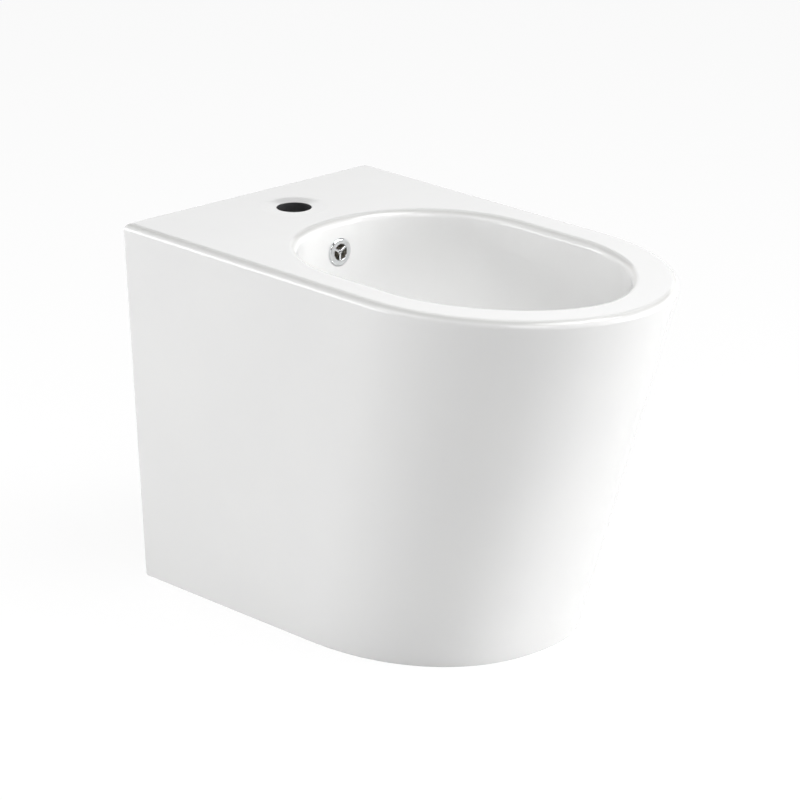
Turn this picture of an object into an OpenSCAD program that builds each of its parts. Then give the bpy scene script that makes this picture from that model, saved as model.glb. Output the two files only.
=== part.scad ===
// Back-to-wall bidet: a hollow ceramic casting with its overflow trim, push waste and hidden floor fixings.
// X runs across the bidet, Y from its round front at -Y to the wall at +Y, and Z up from the floor.
// The origin lies on the floor, under the middle of the body's width and length. Sizes are in millimetres.

/* [Body] */
// Width across the deck and rim
body_width = 350; // [340:1:370]
// Length from the wall to the front of the rim
body_length = 590; // [575:1:610]
// Height of the rim above the floor
body_height = 404; // [395:1:425]
// Length of the straight sides at the rim, from the wall
rim_straight = 379; // [365:1:390]
// Fullness of the front curve at the rim, where 2 is an ellipse
rim_fullness = 1.93; // [1.85:0.01:2.1]
// Width across the foot
foot_width = 307; // [295:1:320]
// Length of the foot from the wall
foot_length = 453; // [440:1:470]
// Length of the straight sides at the foot, from the wall
foot_straight = 262; // [245:1:280]
// Fullness of the front curve at the foot
foot_fullness = 2.27; // [2:0.01:2.4]
// Radius of the edge between the sides and the deck
top_edge = 6; // [3:0.5:8]
// Radius of the edge at the floor
foot_edge = 3; // [1:0.5:5]
// Radius of the two upright corners at the wall
wall_corner = 4; // [2:0.5:8]

/* [Casting] */
// Thickness of the outer wall and of the bowl
wall = 11; // [9:0.5:12]
// Thickness of the deck and rim
deck = 14; // [12:0.5:18]
// Width of the lip that the body stands on
lip_width = 22; // [18:1:28]
// Height of that lip
lip_height = 16; // [12:1:20]
// Width of the opening for pipes in the back
service_width = 230; // [200:1:240]
// Height of the opening for pipes in the back
service_height = 300; // [270:1:320]
// Radius of its upper corners
service_corner = 35; // [20:1:50]

/* [Bowl] */
// Width of the bowl at the rim
bowl_width = 270; // [255:1:275]
// Width of the rim at its front
front_rim = 44; // [40:1:50]
// Depth of the deck behind the bowl
rear_deck = 145; // [140:1:155]
// Distance from the wall to the end of the bowl's rear curve
rear_curve_end = 290; // [270:1:310]
// Distance from the wall to the start of the bowl's front curve
front_curve_start = 375; // [360:1:390]
// Fullness of the bowl's front curve
bowl_front_fullness = 1.85; // [1.75:0.01:2.1]
// Fullness of the bowl's rear curve
bowl_rear_fullness = 2.1; // [1.8:0.01:2.3]
// Depth of the bowl from the rim to the waste
bowl_depth = 165; // [155:1:170]
// Steepness of the bowl's wall, where 2 is an ellipse in section
bowl_steepness = 2.6; // [2.3:0.05:3]
// Radius of the edge between the rim and the bowl
bowl_edge = 6; // [4:0.5:8]

/* [Tap hole] */
// Diameter of the tap hole
tap_hole = 37; // [34:0.5:39]
// Radius of its rounded edge
tap_edge = 2; // [1:0.5:4]
// Distance from the wall to the tap hole's axis
tap_from_wall = 77; // [70:1:80]

/* [Overflow] */
// Diameter of the overflow hole in the bowl
overflow_hole = 24; // [22:0.5:26]
// Depth of its axis below the rim
overflow_drop = 35; // [32:1:45]
// Diameter of the chrome trim
trim_diameter = 30; // [29:0.5:34]
// Thickness of the trim's face
trim_face = 3; // [2:0.5:4]
// Width of the trim's three spokes
spoke_width = 2.6; // [2:0.1:4]
// Length of the trim's spigot in the hole
spigot_length = 9; // [7:0.5:10]
// Thickness of the rubber sleeve round the spigot
sleeve_wall = 1.4; // [1:0.1:2]
// Clear depth of the cast overflow channel
channel_depth = 12; // [10:0.5:14]
// Clear width of the cast overflow channel
channel_width = 28; // [26:1:34]
// Thickness of the channel's own walls
channel_wall = 7; // [6:0.5:9]

/* [Waste] */
// Distance from the wall to the waste's axis
waste_from_wall = 275; // [265:1:285]
// Diameter of the waste hole in the ceramic
waste_hole = 46; // [45:0.5:50]
// Diameter of the waste's threaded tube, G 1 1/4
tube_diameter = 41.9; // [40:0.1:42]
// Wall of the tube
tube_wall = 2.7; // [2:0.1:3.5]
// Diameter of the waste's flange in the bowl
flange_diameter = 65; // [62:0.5:68]
// Thickness of the flange
flange_thick = 3; // [2.5:0.5:4]
// Depth of the recess that the flange sits in
recess_depth = 2.5; // [2:0.5:4]
// Thickness of the gasket under the flange
gasket_thick = 1.5; // [1:0.1:2.5]
// Height of the ceramic boss round the waste hole, under the recess
boss_height = 38; // [35:1:44]
// Wall of that boss
boss_wall = 17; // [15:0.5:20]
// Height of the chamber where the overflow meets the waste
chamber_height = 14; // [12:0.5:16]
// Height of the rubber seal under the boss
seal_height = 8; // [6:0.5:10]
// Thickness of the slip washer
slip_thick = 2; // [1.5:0.5:3]
// Height of the back nut
nut_height = 10; // [8:0.5:14]
// Width of the back nut across its flats
nut_flats = 60; // [54:0.5:66]
// Length of tube left below the nut for the trap
trap_thread = 30; // [25:1:40]

/* [Plug] */
// Diameter of the plug's cap
cap_diameter = 62; // [58:0.5:64]
// Thickness of the cap at its rim
cap_thick = 2.5; // [2:0.1:3.5]
// Rise of the cap's crown
cap_crown = 2; // [1:0.1:3]
// Travel of the plug from open to closed
plug_travel = 8; // [6:0.5:9]
// Diameter of the plunger's rod
rod_diameter = 6; // [5:0.5:6.5]
// Diameter of the plunger's piston in its cartridge
piston_diameter = 8.6; // [8.4:0.1:9]
// Length of that piston
piston_length = 14; // [13.5:0.5:16]
// Outside diameter of the cartridge
cartridge_diameter = 12; // [11.5:0.1:13]
// Diameter of the spring's wire
spring_wire = 0.9; // [0.7:0.1:1]
// Turns of the spring
spring_turns = 6; // [4:1:6]
// Length of the spring with the plug open
spring_length = 16; // [15.5:0.5:20]

/* [Floor fixings] */
// Distance from the wall to the fixings
bracket_from_wall = 85; // [75:1:100]
// Width of each bracket
bracket_width = 40; // [34:1:50]
// Thickness of the bracket's steel
bracket_steel = 3; // [2.5:0.5:4]
// Height of the bracket
bracket_height = 70; // [64:1:80]
// Length of the bracket's floor leg
bracket_foot = 45; // [40:1:55]
// Diameter of the bracket's floor screw hole
floor_hole = 9; // [7:0.5:10]
// Height of the bolts above the floor
bolt_height = 46; // [42:1:50]
// Diameter of the bolts
bolt_diameter = 8; // [6:1:8]
// Depth of the bolt's plug in its lug
plug_depth = 24; // [20:1:26]

/* [Clearances] */
// Gap between pieces that fit in or over each other
fit_gap = 0.1; // [0.08:0.01:0.2]
// Gap between pieces that slide past each other
slide_gap = 0.06; // [0.04:0.01:0.08]
// Gap kept between moving pieces and what they pass
moving_gap = 0.4; // [0.3:0.05:0.6]

/* [Hidden] */
$fn = 64;

// Small overlap that keeps cuts and unions clean
over = 1;
// Small chamfer on turned edges
small_edge = 0.6;
// Share of a plate's thickness that its rounded edge takes up
round_share = 0.6;

// Finishes
glaze = [0.95, 0.95, 0.94];
chrome = [0.78, 0.79, 0.8];
brass = [0.8, 0.66, 0.36];
rubber = [0.14, 0.14, 0.15];
plastic = [0.86, 0.86, 0.84];
galvanised = [0.66, 0.68, 0.7];

// Places that follow from the sizes above
wall_y = body_length / 2;
front_y = wall_y - body_length;
bowl_front_y = front_y + front_rim;
bowl_rear_y = wall_y - rear_deck;
waste_y = wall_y - waste_from_wall;
tap_y = wall_y - tap_from_wall;
bowl_floor_z = body_height - bowl_depth;
seat_z = bowl_floor_z - recess_depth;
boss_bottom_z = seat_z - boss_height;

// Steps round half of each ring of the casting, and up its curves
front_steps = 26;
side_steps = 3;
corner_steps = 4;
rear_steps = 8;
edge_steps = 4;
side_levels = 4;
bowl_steps = 13;
underside_steps = 8;

// Radius of the small flat disc in the middle of the bowl, which the waste hole removes
bowl_middle = 12;

// One quarter of a curve whose fullness is 2 for an ellipse, as shares of its two half widths
function across(angle, fullness) = pow(cos(angle), 2 / fullness);
function along(angle, fullness) = pow(sin(angle), 2 / fullness);
function between(low, high, share) = low + (high - low) * share;

// A curve from the middle of the front, round to where the straight side starts
function front_curve(half_width, front, start, fullness) = [
    for (i = [0 : front_steps])
        let (angle = 90 - 90 * i / front_steps)
        [half_width * across(angle, fullness), start - (start - front) * along(angle, fullness)]
];

// Half of the body's outline, from the middle of its front to the middle of its back
function half_body(half_width, front, start, back, fullness, corner) = concat(
    front_curve(half_width, front, start, fullness),
    [for (i = [1 : side_steps]) [half_width, between(start, back - corner, i / side_steps)]],
    [
        for (i = [1 : corner_steps])
            let (angle = 90 * i / corner_steps)
            [half_width - corner + corner * cos(angle), back - corner + corner * sin(angle)]
    ],
    [for (i = [1 : rear_steps]) [(half_width - corner) * (1 - i / rear_steps), back]]
);

// Half of the bowl's outline with as many points, so that the two can be joined
function half_bowl(grow) =
    let (half_width = bowl_width / 2 + grow, rear_start = wall_y - rear_curve_end)
    let (front_start = wall_y - front_curve_start, count = corner_steps + rear_steps)
    concat(
        front_curve(half_width, bowl_front_y - grow, front_start, bowl_front_fullness),
        [for (i = [1 : side_steps]) [half_width, between(front_start, rear_start, i / side_steps)]],
        [
            for (i = [1 : count])
                let (angle = 90 * i / count)
                [
                    half_width * across(angle, bowl_rear_fullness),
                    rear_start + (bowl_rear_y + grow - rear_start) * along(angle, bowl_rear_fullness)
                ]
        ]
    );

// A whole closed outline from its right half
function whole(half) = concat(half, [for (i = [len(half) - 2 : -1 : 1]) [-half[i][0], half[i][1]]]);
function at_height(outline, z) = [for (p = outline) [p[0], p[1], z]];

// The body's outline at a height, drawn in by an inset: the sides lean in from the rim to the foot
side_low_z = foot_edge;
side_high_z = body_height - top_edge;
function body_ring(z, inset) =
    let (share = min(max((z - side_low_z) / (side_high_z - side_low_z), 0), 1))
    at_height(
        whole(
            half_body(
                between(foot_width, body_width, share) / 2 - inset,
                wall_y - between(foot_length, body_length, share) + inset,
                wall_y - between(foot_straight, rim_straight, share),
                wall_y - inset,
                between(foot_fullness, rim_fullness, share),
                wall_corner
            )
        ),
        z
    );

// The bowl in section: how wide it still is and how deep it already is, at an angle from 0 to 90
bowl_top_z = body_height - bowl_edge;
function bowl_z(angle, grow) = bowl_top_z - (bowl_depth - bowl_edge + grow) * along(angle, bowl_steepness);
function bowl_reach(angle, full) = bowl_middle + (full - bowl_middle) * across(angle, bowl_steepness);
function bowl_angle(z, grow) =
    asin(pow((bowl_top_z - z) / (bowl_depth - bowl_edge + grow), bowl_steepness / 2));

// The bowl's outline at that angle, shrinking towards the waste; grow gives its underside
function bowl_ring(angle, grow) = [
    for (p = whole(half_bowl(grow - bowl_edge / 2)))
        let (away = p - [0, waste_y], full = norm(away))
        let (q = [0, waste_y] + away / full * bowl_reach(angle, full))
        [q[0], q[1], bowl_z(angle, grow)]
];

// The casting's section carried round the outline, from the middle of the underside, out and down the
// inside of the wall, round the foot, up the outside, over the rim and down the bowl to its middle
deck_under_z = body_height - deck;
under_top_angle = bowl_angle(deck_under_z, wall);
casting_rings = concat(
    [
        for (i = [0 : underside_steps])
            bowl_ring(between(90, under_top_angle, i / underside_steps), wall)
    ],
    [
        body_ring(deck_under_z, wall),
        body_ring(lip_height + lip_width - wall, wall),
        body_ring(lip_height, lip_width),
        body_ring(0, lip_width)
    ],
    [
        for (i = [0 : edge_steps])
            let (angle = 90 * i / edge_steps)
            body_ring(foot_edge * (1 - cos(angle)), foot_edge * (1 - sin(angle)))
    ],
    [
        for (i = [1 : side_levels])
            body_ring(between(side_low_z, side_high_z, i / side_levels), 0)
    ],
    [
        for (i = [1 : edge_steps])
            let (angle = 90 * i / edge_steps)
            body_ring(side_high_z + top_edge * sin(angle), top_edge * (1 - cos(angle)))
    ],
    [
        for (i = [0 : edge_steps])
            let (angle = 90 * i / edge_steps)
            at_height(
                whole(half_bowl(bowl_edge * (0.5 - sin(angle)))),
                body_height - bowl_edge * (1 - cos(angle))
            )
    ],
    [for (i = [1 : bowl_steps]) bowl_ring(90 * i / bowl_steps, 0)]
);

// A closed solid through rings of equal length, with a flat cap on its first and last ring
module loft(rings) {
    count = len(rings[0]);
    last = len(rings) - 1;
    sides = [
        for (r = [0 : last - 1], i = [0 : count - 1])
            let (a = r * count + i, b = r * count + (i + 1) % count)
            each [[a, a + count, b + count], [a, b + count, b]]
    ];
    polyhedron(
        points = [for (ring = rings) each ring],
        faces = concat(
            [[for (i = [0 : count - 1]) i]],
            sides,
            [[for (i = [count - 1 : -1 : 0]) last * count + i]]
        )
    );
}

// The rear half of the bowl's section on the middle plane, grown by its wall, down to a height
rear_full = bowl_rear_y - bowl_edge / 2 - waste_y;
section_steps = 10;
function rear_section(grow, top_z) =
    let (top_angle = bowl_angle(top_z, grow))
    [
        for (i = [0 : section_steps])
            let (angle = between(top_angle, 90, i / section_steps))
            [waste_y + bowl_reach(angle, rear_full + grow), bowl_z(angle, grow)]
    ];
function backwards(list) = [for (i = [len(list) - 1 : -1 : 0]) list[i]];

// A band that follows the bowl's back and underside between two depths below its surface
module bowl_band(near, far, top_z, width) {
    translate([-width / 2, 0, 0])
        rotate([90, 0, 90])
            linear_extrude(height = width)
                polygon(concat(rear_section(near, top_z), backwards(rear_section(far, top_z))));
}

// The overflow hole's axis, and the flat that is ground round it for the trim to seat on
overflow_z = body_height - overflow_drop;
overflow_angle = bowl_angle(overflow_z, 0);
ground_depth = 0.3;
ground_reach = 8;
trim_seat_y = waste_y + bowl_reach(overflow_angle, rear_full) + ground_depth;

// The cast channel behind that hole, from just above it down to the waste's chamber
channel_headroom = 4;
channel_top_z = overflow_z + overflow_hole / 2 + channel_headroom;
channel_near = wall + over;
channel_far = channel_near + channel_depth;

// The waste hole's boss and the chamber inside it where the overflow comes in
boss_radius = waste_hole / 2 + boss_wall;
chamber_radius = waste_hole / 2 + boss_wall / 3;
chamber_top_z = bowl_top_z - (bowl_depth - bowl_edge + wall);

// Gap round the flange and the trim in the places ground for them
recess_gap = 1;

module at_waste(z) {
    translate([0, waste_y, z]) children();
}

module at_overflow(y) {
    translate([0, y, overflow_z]) rotate([-90, 0, 0]) children();
}

// Two fixings, one inside each side of the foot: a solid lug on the wall, with a plug's hole in its face
bracket_y = wall_y - bracket_from_wall;
lug_margin = 4;
lug_lift = 2;
lug_headroom = 6;
lug_backing = 2;
lug_width = bracket_width + 2 * lug_margin;
lug_low_z = lip_height + lug_lift;
lug_high_z = bracket_height + lug_headroom;
lug_length = plug_depth + lug_backing;
inside_half_width = between(foot_width, body_width, bolt_height / body_height) / 2 - wall;
lug_face_x = inside_half_width + wall / 2 - lug_length;
plug_wall = 2.9;
plug_radius = bolt_diameter / 2 + plug_wall;

module both_sides() {
    children();
    mirror([1, 0, 0]) children();
}

module at_lug(x) {
    translate([x, bracket_y, bolt_height]) rotate([0, 90, 0]) children();
}

// The opening in the back that pipes and hands go through
module service_opening() {
    half = service_width / 2;
    depth = lip_width + 3 * over;
    translate([0, wall_y + over, 0])
        rotate([90, 0, 0])
            linear_extrude(height = depth)
                union() {
                    translate([-half, -over])
                        square([service_width, service_height - service_corner + over]);
                    translate([-half + service_corner, 0])
                        square([service_width - 2 * service_corner, service_height]);
                    for (side = [-1, 1])
                        translate([side * (half - service_corner), service_height - service_corner])
                            circle(r = service_corner);
                }
}

// The tap hole with its rounded edge, which lies a hair high so that it cuts the deck cleanly
module tap_bore() {
    radius = tap_hole / 2;
    lift = 0.05;
    translate([0, tap_y, body_height - 2 * deck]) cylinder(r = radius, h = 2 * deck + over);
    translate([0, tap_y, body_height - tap_edge + lift])
        rotate_extrude()
            difference() {
                square([radius + tap_edge, tap_edge + over]);
                translate([radius + tap_edge, 0]) circle(r = tap_edge);
            }
}

// Glazed ceramic, slip cast in one piece
module ceramic_body() {
    color(glaze)
        difference() {
            union() {
                loft(casting_rings);
                at_waste(boss_bottom_z) cylinder(r = boss_radius, h = boss_height - wall / 2);
                bowl_band(wall / 2, channel_far + channel_wall, channel_top_z + channel_wall,
                    channel_width + 2 * channel_wall);
                both_sides()
                    translate([lug_face_x, bracket_y - lug_width / 2, lug_low_z])
                        cube([lug_length, lug_width, lug_high_z - lug_low_z]);
            }
            at_waste(seat_z) cylinder(d = flange_diameter + 2 * recess_gap, h = recess_depth + 4 * over);
            at_waste(boss_bottom_z - over) cylinder(d = waste_hole, h = boss_height + 2 * over);
            at_waste(chamber_top_z - chamber_height) cylinder(r = chamber_radius, h = chamber_height);
            bowl_band(channel_near, channel_far, channel_top_z, channel_width);
            at_overflow(trim_seat_y - over) cylinder(d = overflow_hole, h = channel_near + 3 * over);
            at_overflow(trim_seat_y - ground_reach)
                cylinder(d = trim_diameter + 2 * recess_gap, h = ground_reach);
            tap_bore();
            service_opening();
            both_sides() at_lug(lug_face_x - over) cylinder(r = plug_radius, h = plug_depth + over);
        }
}

// Points along an arc, for the section of a turned piece
arc_steps = 6;
function arc(middle, radius, from, to) = [
    for (i = [0 : arc_steps])
        let (angle = between(from, to, i / arc_steps))
        middle + radius * [cos(angle), sin(angle)]
];

// Chrome-plated trim of the overflow: a rounded ring, three spokes and a spigot
spigot_wall = 1.6;
spigot_radius = overflow_hole / 2 - sleeve_wall - fit_gap;
trim_open_radius = spigot_radius - spigot_wall;
spoke_set_back = 0.7;
spoke_depth = 2;
module overflow_trim() {
    round_off = trim_face * round_share;
    color(chrome)
        at_overflow(trim_seat_y - trim_face) {
            rotate_extrude()
                polygon(concat(
                    [
                        [spigot_radius, trim_face],
                        [spigot_radius, trim_face + spigot_length],
                        [trim_open_radius, trim_face + spigot_length],
                        [trim_open_radius, small_edge],
                        [trim_open_radius + small_edge, 0]
                    ],
                    arc([trim_diameter / 2 - round_off, round_off], round_off, -90, 0),
                    [[trim_diameter / 2, trim_face]]
                ));
            translate([0, 0, spoke_set_back])
                linear_extrude(height = spoke_depth)
                    union() {
                        circle(r = spoke_width);
                        for (turn = [90, 210, 330])
                            rotate(turn)
                                translate([0, -spoke_width / 2])
                                    square([trim_open_radius + spigot_wall / 2, spoke_width]);
                    }
        }
}

// A plain ring, washer or sleeve
module ring(outer_radius, bore_radius, height) {
    difference() {
        cylinder(r = outer_radius, h = height);
        translate([0, 0, -over]) cylinder(r = bore_radius, h = height + 2 * over);
    }
}

// Rubber sleeve that grips the hole
module overflow_sleeve() {
    color(rubber)
        at_overflow(trim_seat_y + fit_gap)
            ring(overflow_hole / 2 - fit_gap, spigot_radius + fit_gap / 2, spigot_length - 2 * fit_gap);
}

// Heights up the waste, from the trap to the flange
tube_radius = tube_diameter / 2;
tube_bore = tube_radius - tube_wall;
flange_z = seat_z + gasket_thick;
flange_top_z = flange_z + flange_thick;
nut_top_z = boss_bottom_z - seal_height - slip_thick;
tube_bottom_z = nut_top_z - nut_height - trap_thread;
thread_lead = 1;

// The relief groove that parts the nut's thread from the trap's thread below it
relief_depth = 0.5;
relief_drop = 2;
relief_z = nut_top_z - nut_height - relief_drop - 4 * relief_depth;

// The slots that the overflow comes in by, a margin inside the ceramic's chamber
slot_margin = 2;
slot_width = 16;
slot_top_z = chamber_top_z - slot_margin;
slot_height = chamber_height - 2 * slot_margin;

// The cross under the slots, and the cone that the plug's seal closes on
cross_height = 8;
cross_gap = 1;
web = 3;
hub_wall = 2.5;
cross_z = slot_top_z - slot_height - cross_gap - cross_height;
cone_depth = 2 * flange_thick;
cone_root = 1;
cone_radius = tube_bore + 2 * (tube_wall - cone_root);

// Chrome-plated brass flange and tube, with four overflow slots and a cross that carries the cartridge
module waste_body() {
    edge = flange_thick * round_share;
    under_edge = small_edge / 2;
    color(chrome)
        at_waste(0)
            difference() {
                union() {
                    rotate_extrude()
                        polygon(concat(
                            [
                                [tube_bore, tube_bottom_z],
                                [tube_radius - thread_lead, tube_bottom_z],
                                [tube_radius, tube_bottom_z + thread_lead],
                                [tube_radius, relief_z],
                                [tube_radius - relief_depth, relief_z + relief_depth],
                                [tube_radius - relief_depth, relief_z + 3 * relief_depth],
                                [tube_radius, relief_z + 4 * relief_depth],
                                [tube_radius, flange_z],
                                [flange_diameter / 2 - under_edge, flange_z],
                                [flange_diameter / 2, flange_z + under_edge]
                            ],
                            arc([flange_diameter / 2 - edge, flange_top_z - edge], edge, 0, 90),
                            [[cone_radius, flange_top_z], [tube_bore, flange_top_z - cone_depth]]
                        ));
                    translate([0, 0, cross_z]) cross();
                }
                for (turn = [45 : 90 : 315])
                    rotate([0, 0, turn])
                        translate([tube_bore / 2, -slot_width / 2, slot_top_z - slot_height])
                            cube([tube_radius, slot_width, slot_height]);
            }
}

// Four webs across the tube, with a bored hub in the middle
module cross() {
    reach = tube_bore + tube_wall / 2;
    difference() {
        union() {
            for (turn = [0, 90])
                rotate([0, 0, turn])
                    translate([-reach, -web / 2, 0])
                        cube([2 * reach, web, cross_height]);
            cylinder(r = cartridge_diameter / 2 + hub_wall, h = cross_height);
        }
        translate([0, 0, -over]) cylinder(r = cartridge_diameter / 2 + fit_gap, h = cross_height + 2 * over);
    }
}

// Rubber gasket between the flange and the ceramic, a little smaller than the flange
gasket_inset = 1;
module waste_gasket() {
    color(rubber)
        at_waste(seat_z) ring(flange_diameter / 2 - gasket_inset, tube_radius + fit_gap, gasket_thick);
}

// Rubber seal under the boss, drawn in towards the nut, with a collar that centres the tube in the hole
seal_inset = 4;
seal_taper = 3;
seal_collar = 5;
collar_tip = 0.8;
module waste_seal() {
    inner = tube_radius + fit_gap;
    color(rubber)
        at_waste(boss_bottom_z - seal_height)
            rotate_extrude()
                polygon([
                    [inner, 0],
                    [boss_radius - seal_inset - seal_taper, 0],
                    [boss_radius - seal_inset, seal_height],
                    [waste_hole / 2 - fit_gap, seal_height],
                    [inner + collar_tip, seal_height + seal_collar],
                    [inner, seal_height + seal_collar]
                ]);
}

// Plastic washer that lets the nut turn on the seal
slip_rim = 1;
module slip_washer() {
    color(plastic)
        at_waste(nut_top_z)
            ring(boss_radius - seal_inset - seal_taper + slip_rim, tube_radius + fit_gap, slip_thick);
}

// Brass back nut: a hexagon with its corners turned off by a cone at the washer
nut_cone_slope = 1.6;
nut_cone_start = 0.5;
module back_nut() {
    corners = nut_flats / sqrt(3);
    cone_top = nut_flats / 2 + nut_cone_start;
    color(brass)
        at_waste(nut_top_z - nut_height)
            difference() {
                intersection() {
                    cylinder(r = corners, h = nut_height, $fn = 6);
                    cylinder(r1 = cone_top + nut_height * nut_cone_slope, r2 = cone_top, h = nut_height);
                }
                translate([0, 0, -over]) cylinder(r = tube_radius + fit_gap, h = nut_height + 2 * over);
            }
}

// Heights up the plug with the bowl open; it travels down by plug_travel to close
cap_z = flange_top_z + moving_gap + plug_travel;
cap_step = 5;
cap_step_radius = cap_diameter / 4;
groove_lip = 1.2;
groove_rim = 2;
hub_drop = 2;
cap_hub_wall = 3;
rod_thread = 6;
hub_bottom_z = cap_z - cap_step - hub_drop;

// Heights down the cartridge under it
piston_top_z = cross_z + cross_height;
piston_bottom_z = piston_top_z - piston_length;
spring_bottom_z = piston_bottom_z - spring_length;
cartridge_floor = 2.5;
cartridge_bottom_z = spring_bottom_z - cartridge_floor;
cartridge_bore = piston_diameter / 2 + slide_gap;

// Chrome cap of the plug: a shallow dome with a grooved step and a threaded hub under it
module plug_cap() {
    radius = cap_diameter / 2;
    dome = (radius * radius + cap_crown * cap_crown) / (2 * cap_crown);
    half_angle = asin((radius - small_edge) / dome);
    hub_z = hub_bottom_z - cap_z;
    rod_bore = rod_diameter / 2 + fit_gap / 2;
    color(chrome)
        at_waste(cap_z)
            rotate_extrude()
                polygon(concat(
                    [
                        [rod_bore, hub_z + rod_thread + fit_gap],
                        [rod_bore, hub_z],
                        [rod_diameter / 2 + cap_hub_wall, hub_z],
                        [rod_diameter / 2 + cap_hub_wall, -cap_step],
                        [cap_step_radius + groove_rim, -cap_step],
                        [cap_step_radius + groove_rim, -cap_step + groove_lip],
                        [cap_step_radius, -cap_step + groove_lip],
                        [cap_step_radius, 0],
                        [radius - small_edge, 0],
                        [radius, small_edge],
                        [radius, cap_thick - small_edge]
                    ],
                    arc([0, cap_thick + cap_crown - dome], dome, 90 - half_angle, 90),
                    [[0, hub_z + rod_thread + fit_gap]]
                ));
}

// Rubber ring in the cap's groove, tapered to the flange's cone
seal_thick = cap_step - groove_lip - 2 * fit_gap;
module plug_seal() {
    inner = cap_step_radius + fit_gap;
    low_z = cap_z - fit_gap - seal_thick;
    // Radius of the flange's cone at the seal's underside when the plug is closed
    closed_z = low_z - plug_travel;
    slope = (cone_radius - tube_bore) / cone_depth;
    low = tube_bore + (closed_z - flange_top_z + cone_depth) * slope - 2 * moving_gap;
    color(rubber)
        at_waste(low_z)
            rotate_extrude()
                polygon([
                    [inner, 0],
                    [low, 0],
                    [low + seal_thick * slope, seal_thick],
                    [inner, seal_thick]
                ]);
}

// Brass plunger: a rod screwed into the cap, and a piston with the groove that latches it
groove_width = 2.6;
groove_depth = 1.4;
pin_radius = 0.6;
pin_gap = 0.05;
pin_lift = 3;
pin_z = piston_bottom_z + pin_lift;
module plunger() {
    color(brass)
        difference() {
            union() {
                at_waste(piston_bottom_z) cylinder(r = piston_diameter / 2, h = piston_length);
                at_waste(piston_top_z - over)
                    cylinder(r = rod_diameter / 2, h = hub_bottom_z + rod_thread - piston_top_z + over);
            }
            at_waste(pin_z - 2 * pin_radius)
                translate([piston_diameter / 2 - groove_depth, -groove_width / 2, 0])
                    cube([groove_depth + over, groove_width, plug_travel + 4 * pin_radius]);
        }
}

// Moulded housing of the cartridge, which passes through the cross
module cartridge_housing() {
    color(plastic)
        difference() {
            at_waste(cartridge_bottom_z)
                cylinder(r = cartridge_diameter / 2, h = piston_top_z - cartridge_bottom_z);
            at_waste(spring_bottom_z) cylinder(r = cartridge_bore, h = piston_top_z - spring_bottom_z + over);
            at_waste(pin_z)
                rotate([0, 90, 0]) cylinder(r = pin_radius + pin_gap, h = cartridge_diameter);
        }
}

// Brass cap of the cartridge: it sits on the cross, holds the housing up to it and guides the rod
guide_length = 3;
guide_rim = 2;
module cartridge_cap() {
    color(brass)
        at_waste(piston_top_z)
            ring(cartridge_diameter / 2 + guide_rim, rod_diameter / 2 + slide_gap, guide_length);
}

// Steel pin that reaches through the housing into the piston's groove
pin_tip_gap = 0.3;
module latch_pin() {
    tip_x = piston_diameter / 2 - groove_depth + pin_tip_gap;
    color(galvanised)
        at_waste(pin_z)
            translate([tip_x, 0, 0])
                rotate([0, 90, 0]) cylinder(r = pin_radius, h = cartridge_diameter / 2 - tip_x);
}

// Steel compression spring: one wire wound under the piston, with flat closed ends
spring_ring_steps = 10;
spring_sides = 6;
spring_gap = 0.15;
module cartridge_spring() {
    radius = cartridge_bore - spring_wire / 2 - spring_gap;
    rise = spring_length - spring_wire - 2 * fit_gap;
    rings = [
        for (i = [0 : spring_turns * spring_ring_steps])
            let (share = i / (spring_turns * spring_ring_steps), turn = 360 * spring_turns * share)
            let (lift = spring_bottom_z + fit_gap + spring_wire / 2 + rise * share)
            [
                for (k = [0 : spring_sides - 1])
                    let (angle = -360 * k / spring_sides)
                    let (reach = radius + spring_wire / 2 * cos(angle))
                    [reach * cos(turn), reach * sin(turn), lift + spring_wire / 2 * sin(angle)]
            ]
    ];
    color(galvanised) translate([0, waste_y, 0]) loft(rings);
}

// Galvanised steel angle: one leg on the floor and one against the lug, with a bend between them
floor_hole_shift = 3;
bolt_hole_gap = 0.5;
module bracket() {
    bend = 2 * bracket_steel;
    inner = bend - bracket_steel;
    color(galvanised)
        difference() {
            translate([lug_face_x, bracket_y + bracket_width / 2, 0])
                rotate([90, 0, 0])
                    linear_extrude(height = bracket_width)
                        union() {
                            translate([-bracket_foot, 0]) square([bracket_foot - bend, bracket_steel]);
                            translate([-bracket_steel, bend]) square([bracket_steel, bracket_height - bend]);
                            intersection() {
                                translate([-bend, 0]) square([bend, bend]);
                                translate([-bend, bend])
                                    difference() {
                                        circle(r = bend);
                                        circle(r = inner);
                                    }
                            }
                        }
            translate([lug_face_x - bracket_foot / 2 - floor_hole_shift, bracket_y, -over])
                cylinder(d = floor_hole, h = bracket_steel + 2 * over);
            at_lug(lug_face_x - bracket_steel - over)
                cylinder(d = bolt_diameter + 2 * bolt_hole_gap, h = bracket_steel + 2 * over);
        }
}

module bracket_left() {
    mirror([1, 0, 0]) bracket();
}

module bracket_right() {
    bracket();
}

// Nylon plugs in the ceramic's lugs, which the bolts cut their thread in
module lug_plugs() {
    color(plastic)
        both_sides()
            at_lug(lug_face_x) ring(plug_radius - fit_gap, bolt_diameter / 2 + fit_gap, plug_depth - fit_gap);
}

// Flat washers under the bolt heads
washer_thick = 1.6;
washer_gap = 0.2;
washer_x = lug_face_x - bracket_steel - washer_thick;
module lug_washers() {
    color(galvanised)
        both_sides()
            at_lug(washer_x) ring(bolt_diameter, bolt_diameter / 2 + washer_gap, washer_thick);
}

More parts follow.
